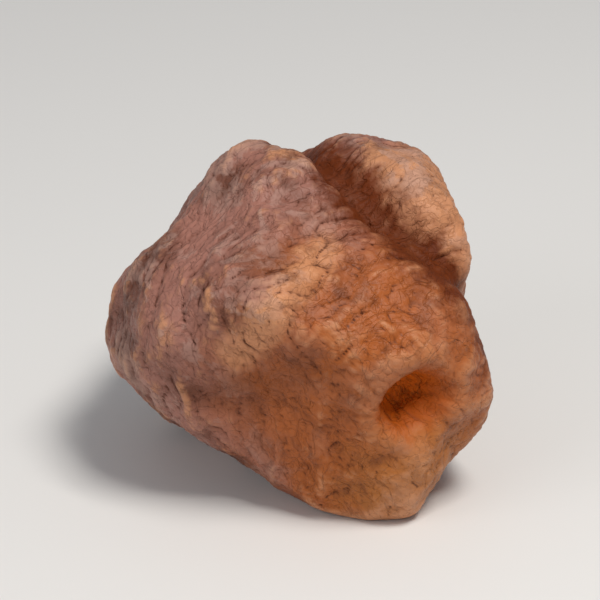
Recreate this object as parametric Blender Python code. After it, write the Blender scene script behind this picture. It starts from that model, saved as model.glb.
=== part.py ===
"""One dried black cardamom seed at its real size, lying on its flattest face.

Metres, +Z up. The origin is on the surface that the seed lies on, under the middle of its box.
The seed's long axis runs along Y. The hilum, the scar where it hung in the pod, faces -Y.
A direction is a bearing and an elevation in degrees: bearing 0 is -Y, bearing 90 is +X.
"""

import bmesh
import bpy
import numpy as np
from mathutils import Vector, noise

MM = 0.001

LENGTH = 4.00 * MM
WIDTH = 3.60 * MM
HEIGHT = 3.25 * MM

# The seeds in a pod press each other flat while they grow, and the faces sink a little as they dry.
# Each face: bearing, elevation, distance from the seed's middle, how far it has sunk.
PRESSED_FACES = {
    "hilum end": (6, 2, 2.06 * MM, 0.00 * MM),
    "lower left front": (-44, -14, 1.54 * MM, 0.11 * MM),
    "left": (-98, 10, 1.76 * MM, 0.09 * MM),
    "upper left": (-76, 50, 1.60 * MM, 0.11 * MM),
    "upper front": (-8, 54, 1.61 * MM, 0.06 * MM),
    "lobe": (62, 42, 2.02 * MM, 0.05 * MM),
    "right": (74, 2, 1.65 * MM, 0.10 * MM),
    "lower right front": (42, -36, 2.12 * MM, 0.05 * MM),
    "top": (120, 80, 1.66 * MM, 0.07 * MM),
    "upper back": (178, 56, 1.52 * MM, 0.06 * MM),
    "upper right back": (120, 36, 1.86 * MM, 0.11 * MM),
    "right back": (144, -14, 1.78 * MM, 0.08 * MM),
    "far end": (-176, 4, 1.98 * MM, 0.05 * MM),
    "upper left back": (-138, 36, 1.40 * MM, 0.07 * MM),
    "left back": (-134, -16, 1.72 * MM, 0.09 * MM),
    "lower back": (172, -48, 1.72 * MM, 0.03 * MM),
    "lower left": (-84, -48, 1.42 * MM, 0.04 * MM),
    "lower right": (98, -44, 1.72 * MM, 0.05 * MM),
    "resting face": (0, -90, 1.50 * MM, 0.00 * MM),
}
EDGE_SHARPNESS = 18
SUNK_SPREAD = 0.66 * MM

# The hilum is an oval pit with an uneven rim.
HILUM_DIRECTION = (6, -4)
PIT_RADIUS = 0.23 * MM
PIT_OVAL = np.array([0.95, 1.0, 1.04])
PIT_DEPTH = 0.30 * MM
PIT_EDGE = 0.045 * MM
RIM_RADIUS = 0.47 * MM
RIM_HEIGHT = 0.08 * MM
RIM_WIDTH = 0.18 * MM
RIM_UNEVENNESS = 0.6

# The raphe is the cord that fed the seed. It leaves a groove from the hilum over the top to the far end.
GROOVE_ROUTE = [
    (54, -30), (48, -12), (38, 8), (31, 28), (29, 44), (35, 58),
    (58, 72), (112, 78), (142, 60), (158, 36), (170, 8),
]
ROUTE_STEPS = 24
GROOVE_WIDTH = 0.28 * MM
GROOVE_DEPTH = 0.34 * MM
GROOVE_FADE = 0.16
LIP_HEIGHT = 0.02 * MM
LIP_PLACE = 0.46 * MM
LIP_WIDTH = 0.17 * MM

# A crest stands up where the upper left face meets the front of the seed.
CREST_ROUTE = [(-46, 10), (-36, 20), (-26, 32), (-12, 44)]
CREST_HEIGHT = 0.09 * MM
CREST_WIDTH = 0.17 * MM
CREST_FADE = 0.5

# The groove ends at the chalaza, a shallow dimple at the far end.
CHALAZA_DIRECTION = (172, 4)
CHALAZA_RADIUS = 0.30 * MM
CHALAZA_DEPTH = 0.16 * MM

# Each unevenness has a size, a height and a seed that picks its pattern.
LUMP_SIZE = 0.95 * MM
LUMP_HEIGHT = 0.11 * MM
LUMP_SEED = 3.7
WRINKLE_SIZE = 0.34 * MM
WRINKLE_LENGTH = 1.8
WRINKLE_HEIGHT = 0.055 * MM
WRINKLE_SEED = 23.1
BEND_SIZE = 0.80 * MM
BEND_DEPTH = 0.25 * MM
BEND_SEED = 11.3

# The underside is smooth below this height on a ball of radius 1, and its lowest part is cut level.
SMOOTH_BELOW = -0.82
SMOOTH_FADE = 0.04
REST_CUT = 0.07 * MM

GRID = 64
TRIANGLES = 10500


def direction(bearing, elevation):
    """The unit vector of a bearing and an elevation in degrees."""
    across, up = np.radians(bearing), np.radians(elevation)
    return np.array([np.sin(across) * np.cos(up), -np.cos(across) * np.cos(up), np.sin(up)])


def unit(vectors):
    """The same vectors with a length of 1."""
    return vectors / np.linalg.norm(vectors, axis=-1, keepdims=True)


def hump(off, width):
    """1 at no distance, falling smoothly to nearly 0 at twice the width."""
    return np.exp(-((off / width) ** 2))


def noise_of(points, size, seed):
    """A smooth random value from -1 to 1 at each point, with features of about that size."""
    start = Vector((seed, 0, 0))
    return np.array([noise.noise(Vector(point / size) + start) for point in points])


def round_cube():
    """A ball of nearly even quads, made from a cube, and the unit direction of each vertex."""
    mesh = bmesh.new()
    bmesh.ops.create_cube(mesh, size=2)
    bmesh.ops.subdivide_edges(mesh, edges=mesh.edges[:], cuts=GRID - 1, use_grid_fill=True)
    corners = np.array([vertex.co for vertex in mesh.verts])
    return mesh, unit(np.tan(corners * np.pi / 4))


def press_faces(ways):
    """The body's surface in each direction: a solid of flat faces whose edges are rounded off."""
    normals = np.array([direction(face[0], face[1]) for face in PRESSED_FACES.values()])
    distances = np.array([face[2] for face in PRESSED_FACES.values()])
    toward = np.maximum(ways @ normals.T, 0) / distances
    reach = (toward**EDGE_SHARPNESS).sum(axis=1) ** (-1 / EDGE_SHARPNESS)
    return ways * reach[:, None]


def sink_faces(points, ways):
    """Presses a shallow dish into the middle of each face that has sunk."""
    moved = points.copy()
    for bearing, elevation, distance, sunk in PRESSED_FACES.values():
        off = np.linalg.norm(points - direction(bearing, elevation) * distance, axis=1)
        moved -= ways * (sunk * hump(off, SUNK_SPREAD))[:, None]
    return moved


def off_the_rest(ways):
    """1 over most of the seed, falling to 0 on the underside, which a neighbour pressed smooth."""
    return 1 / (1 + np.exp((SMOOTH_BELOW - ways[:, 2]) / SMOOTH_FADE))


def lump(points, ways):
    """Adds broad low swellings, so that no face is quite even."""
    height = LUMP_HEIGHT * noise_of(points, LUMP_SIZE, LUMP_SEED) * off_the_rest(ways)
    return points + ways * height[:, None]


def place_along(points, stops, fade):
    """How far each point is from a route over the body, and 1 along the route, falling to 0 at its ends."""
    stops = np.array([direction(*stop) for stop in stops])
    shares = np.linspace(0, 1, ROUTE_STEPS)[:, None]
    legs = [start + (end - start) * shares for start, end in zip(stops[:-1], stops[1:])]
    turns = unit(np.vstack(legs))
    route = sink_faces(press_faces(turns), turns)
    gaps = np.linalg.norm(points[:, None] - route[None], axis=2)
    along = gaps.argmin(axis=1) / (len(route) - 1)
    return gaps.min(axis=1), np.clip(np.minimum(along, 1 - along) / fade, 0, 1)


def cut_groove(points, ways):
    """Sinks the raphe's groove and raises a soft lip along each side of it."""
    off, share = place_along(points, GROOVE_ROUTE, GROOVE_FADE)
    channel = GROOVE_DEPTH * hump(off, GROOVE_WIDTH)
    lips = LIP_HEIGHT * hump(off - LIP_PLACE, LIP_WIDTH)
    return points + ways * (share * (lips - channel))[:, None]


def raise_crest(points, ways):
    """Raises the crest between the upper left face and the front."""
    off, share = place_along(points, CREST_ROUTE, CREST_FADE)
    return points + ways * (CREST_HEIGHT * share * hump(off, CREST_WIDTH))[:, None]


def shape_hilum(points, ways):
    """Raises the hilum's uneven rim at the front end and sinks the pit inside it."""
    axis = direction(*HILUM_DIRECTION)
    along = points @ axis
    off = np.linalg.norm((points - along[:, None] * axis) * PIT_OVAL, axis=1)
    uneven = 1 + RIM_UNEVENNESS * noise_of(points, RIM_RADIUS, LUMP_SEED)
    rim = RIM_HEIGHT * uneven * hump(off - RIM_RADIUS, RIM_WIDTH)
    pit = PIT_DEPTH / (1 + np.exp((off - PIT_RADIUS) / PIT_EDGE))
    return points + axis * np.where(along > 0, rim - pit, 0)[:, None]


def dimple_chalaza(points, ways):
    """Sinks the shallow dimple that the groove runs into."""
    middle = direction(*CHALAZA_DIRECTION) * LENGTH / 2
    off = np.linalg.norm(points - middle, axis=1)
    return points - ways * (CHALAZA_DEPTH * hump(off, CHALAZA_RADIUS))[:, None]


def wrinkle(points, ways):
    """Raises low wrinkles that run round the seed, across its long axis."""
    drawn = points / np.array([WRINKLE_LENGTH, 1, WRINKLE_LENGTH])
    drawn[:, 1] += BEND_DEPTH * noise_of(points, BEND_SIZE, BEND_SEED)
    crease = 2 * np.abs(noise_of(drawn, WRINKLE_SIZE, WRINKLE_SEED))
    return points + ways * (WRINKLE_HEIGHT * (0.5 - crease) * off_the_rest(ways))[:, None]


def fit_to_size(points):
    """Scales the body so that it has the stated size once its lowest part is cut level at z = 0."""
    low, high = points.min(axis=0), points.max(axis=0)
    size = np.array([WIDTH, LENGTH, HEIGHT + REST_CUT])
    fitted = (points - (low + high) / 2) * size / (high - low)
    return fitted + np.array([0, 0, (HEIGHT - REST_CUT) / 2])


def slim(mesh):
    """Joins small triangles where the surface is plain and keeps them where it is detailed."""
    helper = bpy.data.objects.new("helper", mesh)
    bpy.context.scene.collection.objects.link(helper)
    triangulate = helper.modifiers.new("triangulate", "TRIANGULATE")
    triangulate.quad_method = "SHORTEST_DIAGONAL"
    decimate = helper.modifiers.new("decimate", "DECIMATE")
    decimate.ratio = TRIANGLES / (12 * GRID**2)
    slimmed = bpy.data.meshes.new_from_object(helper.evaluated_get(bpy.context.evaluated_depsgraph_get()))
    bpy.data.objects.remove(helper)
    return slimmed


def flatten_rest(mesh):
    """Cuts the underside level, which leaves the small flat spot that the seed lies on."""
    shape = bmesh.new()
    shape.from_mesh(mesh)
    every = shape.verts[:] + shape.edges[:] + shape.faces[:]
    cut = bmesh.ops.bisect_plane(shape, geom=every, plane_co=(0, 0, 0), plane_no=(0, 0, 1), clear_inner=True)
    outline = [piece for piece in cut["geom_cut"] if isinstance(piece, bmesh.types.BMEdge)]
    bmesh.ops.contextual_create(shape, geom=outline)
    bmesh.ops.recalc_face_normals(shape, faces=shape.faces[:])
    shape.to_mesh(mesh)
    shape.free()


def seed_coat():
    """The seed coat's finish: a dull red-brown."""
    material = bpy.data.materials.new("seed_coat")
    material.use_nodes = True
    shader = material.node_tree.nodes["Principled BSDF"]
    shader.inputs["Base Color"].default_value = (0.21, 0.105, 0.06, 1)
    shader.inputs["Roughness"].default_value = 0.62
    shader.inputs["Metallic"].default_value = 0.0
    return material


def make_seed():
    """The whole seed, which grew as one piece."""
    ball, ways = round_cube()
    points = press_faces(ways)
    for shaping in (sink_faces, lump, cut_groove, raise_crest, shape_hilum, dimple_chalaza, wrinkle):
        points = shaping(points, ways)
    for vertex, point in zip(ball.verts, fit_to_size(points)):
        vertex.co = point
    mesh = bpy.data.meshes.new("seed")
    ball.to_mesh(mesh)
    ball.free()
    mesh = slim(mesh)
    flatten_rest(mesh)
    mesh.name = "seed"
    mesh.materials.append(seed_coat())
    mesh.shade_smooth()
    return bpy.data.objects.new("seed", mesh)


def main():
    for obj in list(bpy.data.objects):
        bpy.data.objects.remove(obj)
    parts = bpy.data.collections.new("black_cardamom_seed")
    bpy.context.scene.collection.children.link(parts)
    parts.objects.link(make_seed())


main()
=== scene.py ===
"""The looks of one dried black cardamom seed: its wrinkled coat, its colours and a table to see it on."""

import bpy
import numpy as np
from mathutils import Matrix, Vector, noise


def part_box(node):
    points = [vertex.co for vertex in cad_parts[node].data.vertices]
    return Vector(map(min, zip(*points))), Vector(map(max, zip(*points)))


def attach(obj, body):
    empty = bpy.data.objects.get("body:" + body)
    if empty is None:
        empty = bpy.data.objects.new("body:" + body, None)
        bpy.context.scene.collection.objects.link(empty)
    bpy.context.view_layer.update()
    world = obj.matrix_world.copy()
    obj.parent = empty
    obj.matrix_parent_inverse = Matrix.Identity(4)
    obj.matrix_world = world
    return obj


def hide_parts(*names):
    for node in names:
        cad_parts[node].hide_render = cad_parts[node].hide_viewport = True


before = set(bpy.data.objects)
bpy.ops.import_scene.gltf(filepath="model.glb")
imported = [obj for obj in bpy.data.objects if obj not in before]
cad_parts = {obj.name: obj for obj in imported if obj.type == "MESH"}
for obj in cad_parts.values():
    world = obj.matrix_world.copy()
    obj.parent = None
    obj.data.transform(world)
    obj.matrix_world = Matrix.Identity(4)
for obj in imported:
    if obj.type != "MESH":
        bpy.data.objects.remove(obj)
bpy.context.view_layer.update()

# The seed's body.
# The real seed is one hard, dry grain, pressed angular as it grew in the pod. This skin is blown
# up from a cube, shrunk on to the solid seed and relaxed until its mesh is even.

MM = 0.001
START_RADIUS = 3 * MM
SKIN_LEVELS = 7
SMOOTHING = 0.5
RELAX_ROUNDS = 3
RELAX_STEPS = 14
LAST_RELAX_STEPS = 12

seed_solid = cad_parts["seed"]
low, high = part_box("seed")
middle = (low + high) / 2

bpy.ops.object.select_all(action="DESELECT")
bpy.ops.mesh.primitive_cube_add(size=2 * START_RADIUS, location=middle)
seed_skin = bpy.context.active_object
seed_skin.name = "seed_skin"


def finish_with(piece, kind, **settings):
    """Adds a modifier of that kind to a piece, sets it up and applies it."""
    modifier = piece.modifiers.new(kind.lower(), kind)
    for name, value in settings.items():
        setattr(modifier, name, value)
    bpy.context.view_layer.objects.active = piece
    bpy.ops.object.modifier_apply(modifier=modifier.name)


finish_with(seed_skin, "SUBSURF", levels=SKIN_LEVELS, render_levels=SKIN_LEVELS)
finish_with(seed_skin, "CAST", cast_type="SPHERE", factor=1, radius=START_RADIUS, use_radius_as_size=False)
finish_with(
    seed_skin, "SHRINKWRAP", target=seed_solid, wrap_method="PROJECT",
    use_negative_direction=True, use_positive_direction=False,
)
for _ in range(RELAX_ROUNDS):
    finish_with(seed_skin, "SMOOTH", factor=SMOOTHING, iterations=RELAX_STEPS)
    finish_with(seed_skin, "SHRINKWRAP", target=seed_solid, wrap_method="NEAREST_SURFACEPOINT")
finish_with(seed_skin, "SMOOTH", factor=SMOOTHING, iterations=LAST_RELAX_STEPS)
bpy.ops.object.transform_apply(location=True, rotation=True, scale=True)

# The coat's wrinkles.
# A drying coat shrinks into fine wrinkles that run round the grain, with a crackle and a fine grain
# on top. Round both ends the wrinkles turn and run in towards the end's middle. Sizes are in mm.

GROWN_MIDDLE = (-0.10, 0.11, 1.50)
HILUM_WAY = (6, -4)
RIDGE_STEEPNESS = 2.4
RIDGE_ROUNDNESS = 0.75
BEND = 0.13
BEND_SIZE = 0.52
FINE_BEND = 0.05
FINE_BEND_SIZE = 0.2
WRINKLE_SIZE = 0.16
WRINKLE_LENGTH = 2.6
WRINKLE_HEIGHT = 0.040
MEAN_STRENGTH = 0.62
STRENGTH_CHANGE = 0.38
STRENGTH_CHANGE_SIZE = 0.8
CREASE_COUNT = 22
CREASE_LENGTH = 0.36
CREASE_STRENGTH = 0.8
CREASE_TWIST = 0.25
CREASE_TWIST_SIZE = 0.4
CREASES_START = (0.9, 1.2)
FRONT_REACH = (0.55, 0.95)
BACK_REACH = (1.05, 1.55)
CRACKLE_SIZE = 0.085
CRACKLE_HEIGHT = 0.011
LUMP_SIZE = 0.30
LUMP_HEIGHT = 0.016
GRAIN_SIZE = 0.045
GRAIN_HEIGHT = 0.004
FLAT_ZONE = (0.02, 0.14)


def points_of(piece, what="co"):
    """The places of a piece's points in metres, or with "normal" the directions that they face."""
    values = np.empty(len(piece.data.vertices) * 3)
    piece.data.vertices.foreach_get(what, values)
    return values.reshape(-1, 3)


def rough(places, seed):
    """A smooth random value from -1 to 1 at each place, with features about 1 across."""
    return np.array([noise.noise(place) for place in places + np.array([seed, 0, 0])])


def step(values, start, end):
    """0 up to the start, 1 from the end on, and a smooth step in between."""
    share = np.clip((values - start) / (end - start), 0, 1)
    return share * share * (3 - 2 * share)


def creased(places, seed):
    """A wrinkled surface: rounded ridges, 1 high, with sharp creases at 0 between them."""
    return np.clip(RIDGE_STEEPNESS * np.abs(rough(places, seed)), 0, 1) ** RIDGE_ROUNDNESS


def way(bearing, elevation):
    """The direction of a bearing and an elevation in degrees. Bearing 0 is -Y, and 90 is +X."""
    round_z, up = np.radians(bearing), np.radians(elevation)
    return np.array([np.sin(round_z) * np.cos(up), -np.cos(round_z) * np.cos(up), np.sin(up)])


# Each point's place on the seed's long axis, how far it is off that axis, and where round it.
hilum_axis = way(*HILUM_WAY)
points = points_of(seed_skin)
spots = points / MM - GROWN_MIDDLE
along = spots @ hilum_axis
across = spots - along[:, None] * hilum_axis
off_axis = np.linalg.norm(across, axis=1)
sideways = np.cross([0, 0, 1], hilum_axis)
sideways /= np.linalg.norm(sideways)
turn = np.arctan2(across @ np.cross(hilum_axis, sideways), across @ sideways)

bend = BEND * rough(spots / BEND_SIZE, seed=31.7) + FINE_BEND * rough(spots / FINE_BEND_SIZE, seed=12.1)
running_round = across / WRINKLE_LENGTH + (along + bend)[:, None] * hilum_axis
wrinkles = creased(running_round / WRINKLE_SIZE, seed=5.3)
ring = CREASE_COUNT / (2 * np.pi)
turn_bent = turn + CREASE_TWIST * rough(spots / CREASE_TWIST_SIZE, seed=8.8)
running_in = np.column_stack([
    ring * np.cos(turn_bent), ring * np.sin(turn_bent), off_axis / CREASE_LENGTH + along,
])
creases = creased(running_in, seed=77.2)
near_axis = 1 - np.where(along > 0, step(off_axis, *FRONT_REACH), step(off_axis, *BACK_REACH))
at_the_ends = near_axis * step(np.abs(along), *CREASES_START)
folds = wrinkles * (1 - at_the_ends) + CREASE_STRENGTH * creases * at_the_ends

strength = MEAN_STRENGTH + STRENGTH_CHANGE * rough(spots / STRENGTH_CHANGE_SIZE, seed=2.9)
lumps = rough(spots / LUMP_SIZE, seed=61.3)
crackle = creased(spots / CRACKLE_SIZE, seed=17.9)
grain = rough(spots / GRAIN_SIZE, seed=41.1)
relief = (
    WRINKLE_HEIGHT * (folds - 0.5) * strength + LUMP_HEIGHT * lumps
    + CRACKLE_HEIGHT * (crackle - 0.5) + GRAIN_HEIGHT * grain
)

# The raphe, the cord that fed the seed, lies dried in the bottom of its groove. Both follow a route
# of bearings and elevations over the seed, from low on the hilum's right to the far end.
GROOVE_ROUTE = [
    (54, -30), (48, -12), (38, 8), (31, 28), (29, 44), (35, 58),
    (58, 72), (112, 78), (142, 60), (158, 36), (170, 8),
]
LEG_STEPS = 8
GROOVE_WIDTH = 0.36
GROOVE_SMOOTHNESS = 0.3
RAPHE_WIDTH = 0.05
RAPHE_HEIGHT = 0.035

from_middle = np.linalg.norm(spots, axis=1)


def near_route(stops, width):
    """1 on a route over the seed, falling to nearly 0 at twice the width from it."""
    ways = [way(*stop) for stop in stops]
    shares = np.linspace(0, 1, LEG_STEPS)[:, None]
    route = np.vstack([start + (end - start) * shares for start, end in zip(ways[:-1], ways[1:])])
    route /= np.linalg.norm(route, axis=1, keepdims=True)
    nearest = np.clip((spots @ route.T).max(axis=1) / from_middle, -1, 1)
    return np.exp(-((from_middle * np.arccos(nearest) / width) ** 2))


relief *= 1 - GROOVE_SMOOTHNESS * near_route(GROOVE_ROUTE, GROOVE_WIDTH)
relief += RAPHE_HEIGHT * near_route(GROOVE_ROUTE, RAPHE_WIDTH)

off_the_table = step(points[:, 2] / MM, *FLAT_ZONE)
points += points_of(seed_skin, "normal") * (MM * relief * off_the_table)[:, None]
seed_skin.data.vertices.foreach_set("co", points.ravel())
seed_skin.data.update()
seed_skin.data.shade_smooth()

# The coat's colours, its painted shade and its painted highlights need to know how far each point
# stands out from the seed's own shape, or lies in it: over the finest creases, over the wrinkles, and
# over the whole faces, groove and pit. They also need where the groove's painted shade lies, a little
# on its near lip, the crest for its painted highlight, the face under the crest for its painted
# shade, and the way off the hilum's middle.
RELIEFS = {"fine_relief": 5, "broad_relief": 70, "deep_relief": 480}
TYPICAL_PERCENTILE = 90
RELIEF_RANGE = 3
# The groove's painted shade follows this route and reaches about this far from it.
GROOVE_SHADE_ROUTE = [
    (43, -12), (33, 8), (26, 28), (23, 44), (26, 58),
    (45, 72), (112, 78), (142, 60), (158, 36), (170, 8),
]
GROOVE_SHADE_WIDTH = 0.43
CREST_ROUTE = [(-46, 10), (-36, 20), (-26, 32), (-12, 44)]
CREST_WIDTH = 0.24
SHADOW_ROUTE = [(-56, -6), (-40, -4), (-24, 6)]
SHADOW_WIDTH = 0.30
NOT_NEAR_HILUM = 2


def relaxed(piece, rounds):
    """Where a piece's points come to lie when it is smoothed that many times."""
    trial = piece.copy()
    trial.data = piece.data.copy()
    bpy.context.scene.collection.objects.link(trial)
    finish_with(trial, "SMOOTH", factor=SMOOTHING, iterations=rounds)
    places = points_of(trial)
    bpy.data.meshes.remove(trial.data)
    return places


facing = points_of(seed_skin, "normal")
masks = {
    "in_groove": near_route(GROOVE_SHADE_ROUTE, GROOVE_SHADE_WIDTH),
    "on_crest": near_route(CREST_ROUTE, CREST_WIDTH),
    "under_crest": near_route(SHADOW_ROUTE, SHADOW_WIDTH),
    "off_the_hilum": np.where(along > 0, off_axis, NOT_NEAR_HILUM),
}
for name, rounds in RELIEFS.items():
    standing = ((points - relaxed(seed_skin, rounds)) * facing).sum(axis=1)
    typical = np.percentile(np.abs(standing), TYPICAL_PERCENTILE)
    masks[name] = np.clip(standing / typical, -RELIEF_RANGE, RELIEF_RANGE)
for name, values in masks.items():
    layer = seed_skin.data.attributes.new(name, "FLOAT", "POINT")
    layer.data.foreach_set("value", values)

# The seed coat's finish.
# The dry coat is mauve brown, and orange brown towards the hilum. It is paler on its crests and
# edges, and patches of the dried pulp still film it with a grey bloom. Shade is painted, redder and
# darker, into its creases, wrinkle valleys, hollows and groove and on the face under its crest,
# highlights are painted on its crest and lobe, and light is painted on to the pit's floor.


class Tone:
    """A number or a colour that varies over a surface: one output of a shader's node."""

    def __init__(self, socket):
        self.socket = socket

    def node(self, kind, settings, sockets, output=0):
        """Adds a node, sets it up, then gives its sockets their values or links."""
        tree = self.socket.id_data
        made = tree.nodes.new(kind)
        for name, value in settings.items():
            setattr(made, name, value)
        for name, value in sockets.items():
            if isinstance(value, Tone):
                tree.links.new(value.socket, made.inputs[name])
            else:
                made.inputs[name].default_value = value
        return Tone(made.outputs[output])

    def maths(self, operation, first, second=0):
        return self.node("ShaderNodeMath", {"operation": operation}, {0: first, 1: second})

    def __add__(self, other):
        return self.maths("ADD", self, other)

    def __sub__(self, other):
        return self.maths("SUBTRACT", self, other)

    def __rsub__(self, other):
        return self.maths("SUBTRACT", other, self)

    def __mul__(self, other):
        return self.maths("MULTIPLY", self, other)

    def __abs__(self):
        return self.maths("ABSOLUTE", self)

    __radd__ = __add__
    __rmul__ = __mul__

    def rise(self, start, end):
        """0 up to the start, 1 from the end on, and a smooth step in between."""
        return self.node(
            "ShaderNodeMapRange", {"interpolation_type": "SMOOTHSTEP"},
            {"Value": self, "From Min": start, "From Max": end},
        )

    def stained(self, stain, share):
        """This colour with a stain laid over it, as strongly as share says, from 0 to 1."""
        return self.node("ShaderNodeMix", {"data_type": "RGBA"}, {0: share, 6: self, 7: stain}, output=2)


def screen(red, green, blue):
    """A colour given as a screen shows it, from 0 to 255, in the linear values of a shader."""
    share = np.array([red, green, blue]) / 255
    return (*(((share + 0.055) / 1.055) ** 2.4), 1)


DARK_COAT = screen(106, 66, 52)
MAUVE_COAT = screen(156, 107, 93)
AMBER_COAT = screen(166, 88, 36)
GOLD_COAT = screen(178, 112, 54)
# Pale tan on the crests and edges, and painted highlight on the crest and the lobe.
PALE_TAN_AND_HIGHLIGHT = screen(208, 146, 104)
# Dark flecks and streaks, and painted shade in the wrinkle valleys and on the face under the crest.
FLECK_AND_SHADE = screen(90, 42, 20)
# Dark crack lines, and painted shade in the finest creases.
CRACK_LINE_AND_CREASE_SHADE = screen(70, 28, 10)
# Painted shade in the groove and in the deep hollows.
GROOVE_AND_HOLLOW_SHADE = screen(100, 41, 4)
PIT_STAIN = screen(166, 76, 8)
# Painted light on the pit's floor, brighter than its rim against the pit's shade.
PIT_FLOOR = screen(206, 98, 8)
BLOOM = screen(172, 140, 128)
SHEEN = 0.17
BUMP_STRENGTH = 0.9
BUMP_HEIGHT = 0.016 * MM
LONG_ROUND = (2.2, 1, 2.2)
PORE_STRETCH = (1, 4.5, 1)

seed_coat = bpy.data.materials.new("seed_coat_finish")
seed_coat.use_nodes = True
shader = seed_coat.node_tree.nodes["Principled BSDF"]
coat = Tone(shader.outputs[0])
place = coat.node("ShaderNodeTexCoord", {}, {}, output=3)
place = coat.node("ShaderNodeVectorMath", {"operation": "SCALE"}, {0: place, 3: 1 / MM})


def mask(name):
    """One of the masks measured above."""
    return coat.node("ShaderNodeAttribute", {"attribute_name": name}, {}, output=2)


def cloud(size, detail=3, crispness=0.55, twist=0, stretch=(1, 1, 1)):
    """Cloudy patches from 0 to 1, about so many millimetres across."""
    drawn = coat.node(
        "ShaderNodeMapping", {"vector_type": "POINT"},
        {"Vector": place, "Scale": tuple(1 / (size * long) for long in stretch)},
    )
    return coat.node(
        "ShaderNodeTexNoise", {},
        {"Vector": drawn, "Scale": 1, "Detail": detail, "Roughness": crispness, "Distortion": twist},
    )


def patch(point, fade, raggedness, size):
    """1 near a point, fading to 0 between two distances in mm, with a ragged border."""
    away = coat.node("ShaderNodeVectorMath", {"operation": "DISTANCE"}, {0: place, 1: point}, output=1)
    return 1 - (away + raggedness * cloud(size)).rise(*fade)


amber = patch((0.1, -1.9, 1.25), fade=(1.75, 2.65), raggedness=0.9, size=0.6)
at_tip = patch((0.25, -1.75, 0.35), fade=(0.6, 1.3), raggedness=0.6, size=0.4)
# Painted highlight on the top of the lobe.
lobe_highlight = patch((1.05, -0.75, 2.72), fade=(0.75, 1.35), raggedness=0.5, size=0.35)

off_the_hilum = mask("off_the_hilum")
round_pit = 1 - off_the_hilum.rise(0.40, 0.80)
in_pit = 1 - (off_the_hilum + 0.24 * cloud(0.12)).rise(0.34, 0.58)
# Where the pit's floor gets its painted light.
pit_floor = 1 - off_the_hilum.rise(0.14, 0.32)

fine = mask("fine_relief")
broad = mask("broad_relief")
deep = mask("deep_relief")
# Painted shade in the finest creases.
fine_crease_shade = 1 - fine.rise(-2.0, -0.2)
# Painted shade in the wrinkle valleys.
valley_shade = 1 - broad.rise(-1.6, -0.1)
crest = broad.rise(0.3, 1.8) * (0.5 + 0.5 * fine.rise(-0.3, 1.0)) * (1 - 0.7 * round_pit)
# Painted shade in the deep hollows of the faces and groove.
hollow_shade = 1 - deep.rise(-1.9, -0.9)

near_groove = mask("in_groove")
ragged = cloud(0.2, detail=6, crispness=0.68) - 0.5
# Painted shade along the groove, with a ragged border and darker in its low parts.
groove_shade_band = (near_groove + 0.9 * ragged - 0.12 * broad).rise(0.20, 0.86)
edge = deep.rise(0.6, 1.9) * (1 - 0.8 * round_pit) * (1 - 0.8 * near_groove.rise(0.1, 0.5))
# Painted highlight along the crest.
crest_highlight = (mask("on_crest") + 0.7 * cloud(0.16, detail=4) - 0.35).rise(0.3, 1.0)
# Painted shade on the face under the crest.
shaded = (mask("under_crest") + 0.6 * cloud(0.2, detail=4) - 0.3).rise(0.2, 1.0)

film = cloud(0.46, detail=7, crispness=0.62, twist=0.6).rise(0.50, 0.56)
film = film * (1 - hollow_shade) * (1 - 0.8 * amber) * (1 - 0.8 * groove_shade_band)
freckles = amber * cloud(0.38, detail=5, twist=0.5).rise(0.50, 0.72)
streaks = cloud(0.13, crispness=0.65, stretch=LONG_ROUND).rise(0.52, 0.74)
fold_line = abs(cloud(0.21, detail=3, crispness=0.5, twist=0.7, stretch=LONG_ROUND) - 0.5)
crack_line = abs(cloud(0.12, detail=2, crispness=0.5, twist=0.4) - 0.5)
line = (1 - fold_line.rise(0.0, 0.035)) * (0.55 + 0.45 * valley_shade) + (1 - crack_line.rise(0.0, 0.03)) * 0.35

# The stains, painted shade and painted highlights lie over each other in this order, each with its colour,
# where it is, and how strong.
STAINS = [
    (AMBER_COAT, amber, 0.90),
    (FLECK_AND_SHADE, freckles, 0.55),
    (GOLD_COAT, at_tip, 0.75),
    (PALE_TAN_AND_HIGHLIGHT, lobe_highlight, 0.68),
    (PALE_TAN_AND_HIGHLIGHT, crest_highlight, 0.70),
    (FLECK_AND_SHADE, streaks, 0.45),
    (PALE_TAN_AND_HIGHLIGHT, edge, 0.60),
    (PALE_TAN_AND_HIGHLIGHT, crest, 0.50),
    (BLOOM, film, 0.25 + 0.25 * broad.rise(-0.8, 1.2)),
    (FLECK_AND_SHADE, valley_shade, 0.50),
    (FLECK_AND_SHADE, shaded, 0.34),
    (GROOVE_AND_HOLLOW_SHADE, hollow_shade * (1 - in_pit), 0.80),
    (GROOVE_AND_HOLLOW_SHADE, groove_shade_band, 0.76 + 0.42 * cloud(0.2)),
    (PIT_STAIN, in_pit, 0.90),
    (PIT_FLOOR, pit_floor, 0.85),
    (CRACK_LINE_AND_CREASE_SHADE, fine_crease_shade, 0.7 - 0.4 * round_pit),
    (CRACK_LINE_AND_CREASE_SHADE, line, 0.30),
]
mauve = cloud(0.75, detail=4, twist=0.5).rise(0.36, 0.60)
colour = coat.node("ShaderNodeMix", {"data_type": "RGBA"}, {0: mauve, 6: DARK_COAT, 7: MAUVE_COAT}, output=2)
for stain, where, share in STAINS:
    colour = colour.stained(stain, where * share)
seed_coat.node_tree.links.new(colour.socket, shader.inputs["Base Color"])

dullness = (
    0.30 + 0.16 * cloud(0.16) + 0.16 * film + 0.10 * valley_shade
    - 0.06 * crest + 0.2 * in_pit + 0.2 * groove_shade_band
)
seed_coat.node_tree.links.new(dullness.socket, shader.inputs["Roughness"])
shader.inputs["Metallic"].default_value = 0
shader.inputs["Specular IOR Level"].default_value = SHEEN

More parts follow.
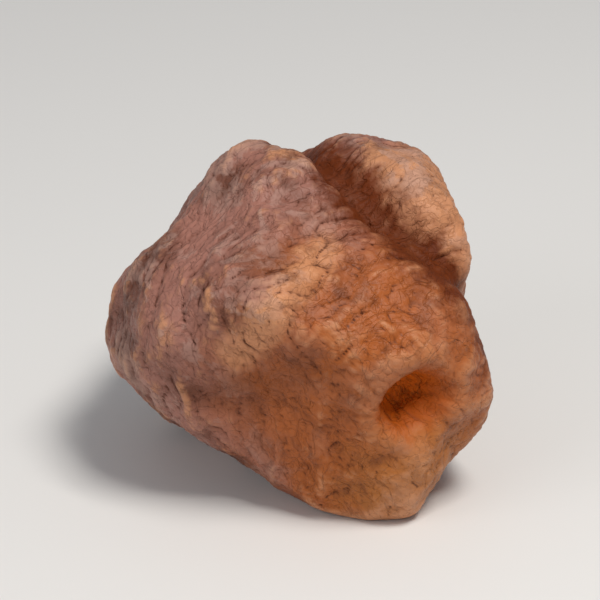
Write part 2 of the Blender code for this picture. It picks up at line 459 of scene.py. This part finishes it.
pores = cloud(0.026, detail=2, stretch=PORE_STRETCH, twist=0.3)
grit = cloud(0.05, detail=5, crispness=0.7)
height = 0.35 * pores + 0.5 * grit + 0.25 * film - 0.7 * line
bump = coat.node(
    "ShaderNodeBump", {}, {"Strength": BUMP_STRENGTH, "Distance": BUMP_HEIGHT, "Height": height},
)
seed_coat.node_tree.links.new(bump.socket, shader.inputs["Normal"])
seed_skin.data.materials.clear()
seed_skin.data.materials.append(seed_coat)

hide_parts("seed")
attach(seed_skin, "root")

# The table.
# A plain, pale, painted table top, far larger than the seed. The seed lies loose on it, on its
# small flat spot.

TABLE_SIZE = 400 * MM
TABLE_PAINT = (0.74, 0.73, 0.71, 1)
TABLE_DULLNESS = 0.7

bpy.ops.mesh.primitive_plane_add(size=TABLE_SIZE, location=(0, 0, 0))
table = bpy.context.active_object
table.name = "table"
table_paint = bpy.data.materials.new("table_paint")
table_paint.use_nodes = True
table_shader = table_paint.node_tree.nodes["Principled BSDF"]
table_shader.inputs["Base Color"].default_value = TABLE_PAINT
table_shader.inputs["Roughness"].default_value = TABLE_DULLNESS
table.data.materials.append(table_paint)

# The light and the camera.
# A broad soft lamp hangs high above the seed's front, a wider and weaker one fills from low on its
# left, and the camera looks down from the front left, so that the hilum is seen on the right.

SKY_TINT = (0.93, 0.95, 1.0, 1)
SKY_STRENGTH = 0.30
CAMERA_AZIMUTH = np.radians(-30)
CAMERA_ELEVATION = np.radians(25)
CAMERA_DISTANCE = 32 * MM
LENS_LENGTH = 205
NEAREST_SEEN = 1 * MM


def lamp(name, place, size, power, tint):
    """A square soft light that points at the seed. Its place and size are in mm."""
    light = bpy.data.lights.new(name, "AREA")
    light.size = size * MM
    light.energy = power
    light.color = tint
    holder = bpy.data.objects.new(name, light)
    holder.location = Vector(place) * MM
    holder.rotation_euler = (holder.location - middle).to_track_quat("Z", "Y").to_euler()
    bpy.context.scene.collection.objects.link(holder)


lamp("key_light", place=(4, -18, 40), size=13, power=0.0155, tint=(1.0, 0.97, 0.93))
lamp("fill_light", place=(-36, -6, 16), size=26, power=0.004, tint=(0.95, 0.97, 1.0))

sky = bpy.data.worlds.new("sky")
sky.use_nodes = True
sky.node_tree.nodes["Background"].inputs["Color"].default_value = SKY_TINT
sky.node_tree.nodes["Background"].inputs["Strength"].default_value = SKY_STRENGTH
bpy.context.scene.world = sky

toward_camera = Vector((
    np.sin(CAMERA_AZIMUTH) * np.cos(CAMERA_ELEVATION),
    -np.cos(CAMERA_AZIMUTH) * np.cos(CAMERA_ELEVATION),
    np.sin(CAMERA_ELEVATION),
))
lens = bpy.data.cameras.new("camera")
lens.lens = LENS_LENGTH
lens.clip_start = NEAREST_SEEN
camera = bpy.data.objects.new("camera", lens)
camera.location = middle + toward_camera * CAMERA_DISTANCE
camera.rotation_euler = toward_camera.to_track_quat("Z", "Y").to_euler()
bpy.context.scene.collection.objects.link(camera)
bpy.context.scene.camera = camera
bpy.context.scene.view_settings.view_transform = "Standard"
